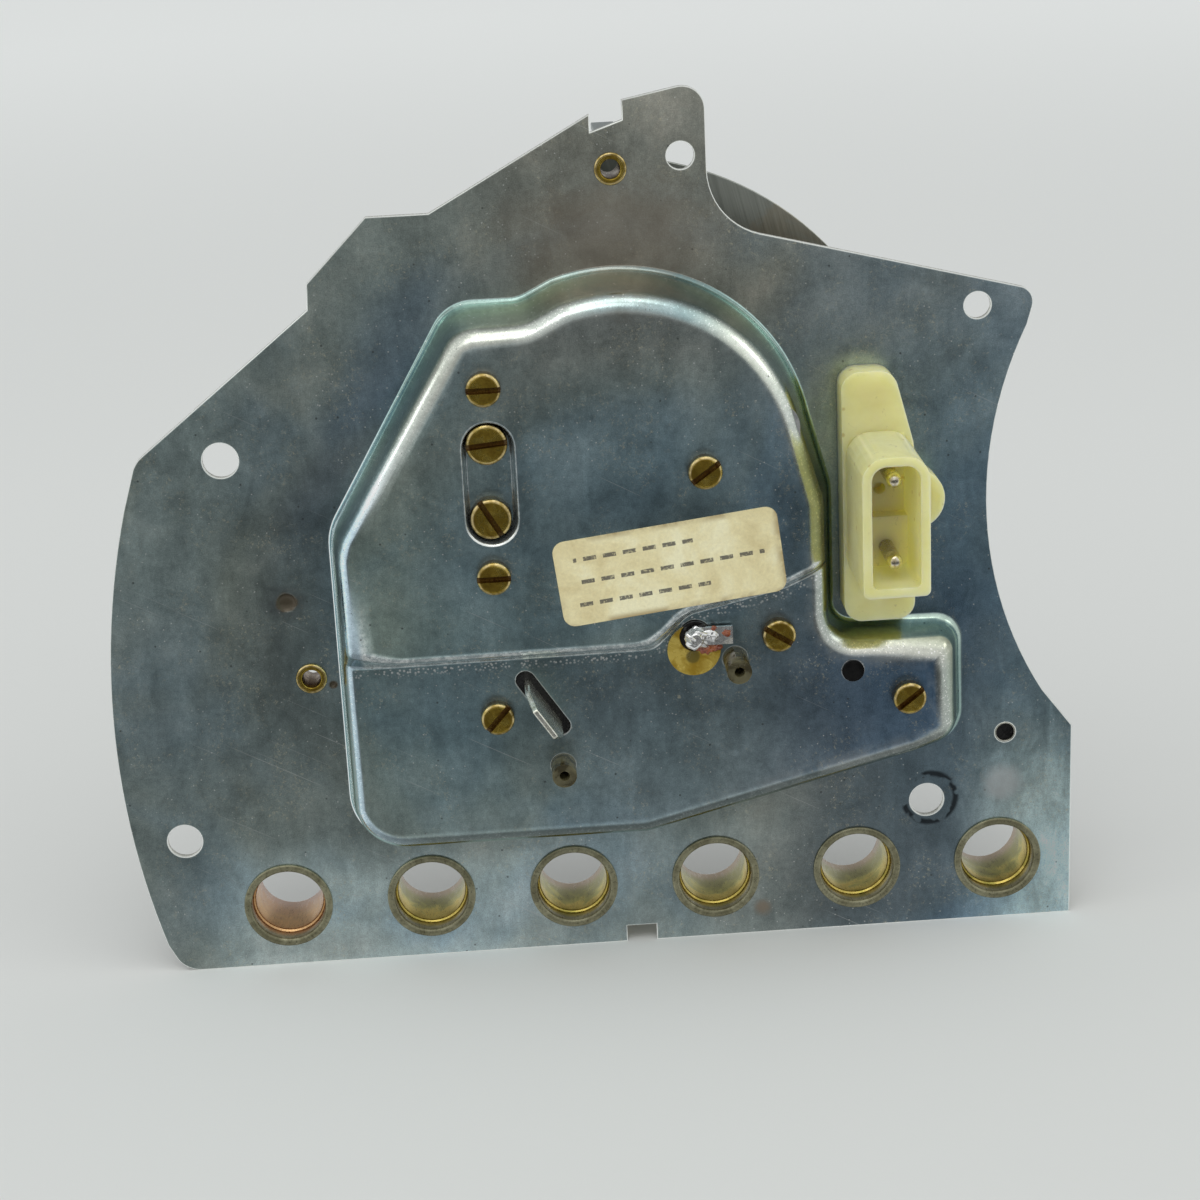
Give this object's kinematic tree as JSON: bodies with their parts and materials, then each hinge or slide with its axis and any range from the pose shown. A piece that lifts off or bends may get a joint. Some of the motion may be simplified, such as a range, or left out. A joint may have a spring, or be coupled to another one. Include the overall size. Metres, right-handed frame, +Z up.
{
  "type": "tachometer",
  "caption": "Tachometer module on a stamped carrier plate, with lamp tubes, a plug connector and a small clock in its round dial.",
  "frame": {"origin": "on the axis of the first lamp tube, at the rear face of the carrier plate", "axes": "+X right as seen from the rear, +Y from the rear toward the dial, +Z up; the rear of the plate faces -Y"},
  "size_m": [0.1318, 0.0458, 0.1191],
  "materials": {
    "zinc_plated_steel": "blue zinc passivation, mottled",
    "chromated_steel": "yellow passivation",
    "brass": "turned",
    "paper": "aged",
    "natural_nylon": "translucent, moulded",
    "plated_contact": "nickel plated",
    "tinned_brass": "tinned, tarnished",
    "black_plastic": "moulded",
    "amber_sheet": "translucent",
    "solder": "bright, flowed",
    "dial_paint": "matt black on aluminium sheet",
    "needle_orange": "satin",
    "steel": "ground",
    "magnet": "sintered",
    "die_casting": "as cast",
    "shield_steel": "zinc plated",
    "white_plastic": "moulded",
    "copper_wire": "enamelled, wound",
    "spring_bronze": "strip",
    "board_laminate": "paper laminate",
    "chip_black": "moulded",
    "capacitor_sleeve": "shrunk sleeve",
    "capacitor_film": "dipped",
    "resistor_body": "lacquered",
    "trimmer_body": "moulded",
    "hand_white": "white paint"
  },
  "bodies": {
    "carrier": {"rear_plate": "zinc_plated_steel", "lamp_tubes": "chromated_steel", "threaded_inserts": "brass", "movement_screws": "brass", "pole_screws": "brass", "clock_screws": "brass", "bearing_bridge": "brass", "hand_bush": "brass", "label": "paper", "connector_housing": "natural_nylon", "connector_pins": "plated_contact", "supply_tab": "tinned_brass", "tab_insulator": "black_plastic", "terminal_bush": "black_plastic", "idler_pin": "black_plastic", "terminal_washer": "amber_sheet", "solder_tag": "solder", "dial": "dial_paint", "dial_screws": "steel", "needle_stop": "steel", "centre_post": "steel", "knob_bush": "steel", "quartz_can": "steel", "stepper_stator": "steel", "movement_base": "die_casting", "shield_can": "shield_steel", "coil_former_rear": "white_plastic", "coil_former_front": "white_plastic", "clock_base": "white_plastic", "clock_bridge": "white_plastic", "board_spacers": "white_plastic", "inner_coil": "copper_wire", "outer_coil": "copper_wire", "stepper_coil": "copper_wire", "hairspring": "spring_bronze", "circuit_board": "board_laminate", "clock_board": "board_laminate", "control_chip": "chip_black", "clock_chip": "chip_black", "electrolytic_capacitor": "capacitor_sleeve", "film_capacitors": "capacitor_film", "resistors": "resistor_body", "trimmer": "trimmer_body"},
    "needle": {"needle": "needle_orange", "needle_cap": "black_plastic", "spindle": "steel", "magnet_rotor": "magnet"},
    "rotor": {"stepper_rotor": "magnet"},
    "train": {"train_wheel": "white_plastic"},
    "centre": {"centre_wheel": "white_plastic"},
    "minute": {"cannon_pinion": "steel", "minute_hand": "hand_white"},
    "motion": {"motion_wheel": "white_plastic"},
    "hour": {"hour_wheel": "white_plastic", "hour_hand": "hand_white"},
    "idler": {"idler_gear": "white_plastic"},
    "knob": {"setting_knob": "black_plastic"}
  },
  "joints": [
    {"name": "needle_sweep", "type": "hinge", "parent": "carrier", "child": "needle", "pos_m": [0.0483, 0.01, 0.0618], "axis": [0, -1, 0], "range_deg": [0, 250], "stiffness_Nm_per_rad": 0.00002, "springref_deg": -40.11},
    {"name": "train_turn", "type": "hinge", "parent": "carrier", "child": "train", "pos_m": [0.0389, 0.004, 0.02708], "axis": [0, -1, 0], "continuous": true},
    {"name": "rotor_turn", "type": "hinge", "parent": "carrier", "child": "rotor", "pos_m": [0.0339, 0.001, 0.01842], "axis": [0, -1, 0], "continuous": true},
    {"name": "centre_turn", "type": "hinge", "parent": "carrier", "child": "centre", "pos_m": [0.0483, 0.004, 0.0305], "axis": [0, -1, 0], "continuous": true},
    {"name": "knob_turn", "type": "hinge", "parent": "carrier", "child": "knob", "pos_m": [0.10104, 0.012, 0.01898], "axis": [0, -1, 0], "continuous": true},
    {"name": "idler_turn", "type": "hinge", "parent": "carrier", "child": "idler", "pos_m": [0.079, 0.007, 0.0318], "axis": [0, -1, 0], "continuous": true},
    {"name": "motion_turn", "type": "hinge", "parent": "carrier", "child": "motion", "pos_m": [0.05326, 0.008, 0.01957], "axis": [0, -1, 0], "continuous": true},
    {"name": "minute_turn", "type": "hinge", "parent": "carrier", "child": "minute", "pos_m": [0.0483, 0.012, 0.0305], "axis": [0, -1, 0], "continuous": true},
    {"name": "hour_turn", "type": "hinge", "parent": "carrier", "child": "hour", "pos_m": [0.0483, 0.012, 0.0305], "axis": [0, -1, 0], "continuous": true}
  ],
  "couplings": [
    {"joint": "rotor_turn", "follows": "train_turn", "ratio": -4},
    {"joint": "centre_turn", "follows": "train_turn", "ratio": -0.25},
    {"joint": "idler_turn", "follows": "knob_turn", "ratio": -0.30769},
    {"joint": "motion_turn", "follows": "knob_turn", "ratio": 0.66667},
    {"joint": "minute_turn", "follows": "knob_turn", "ratio": -2},
    {"joint": "hour_turn", "follows": "knob_turn", "ratio": -0.16667}
  ]
}
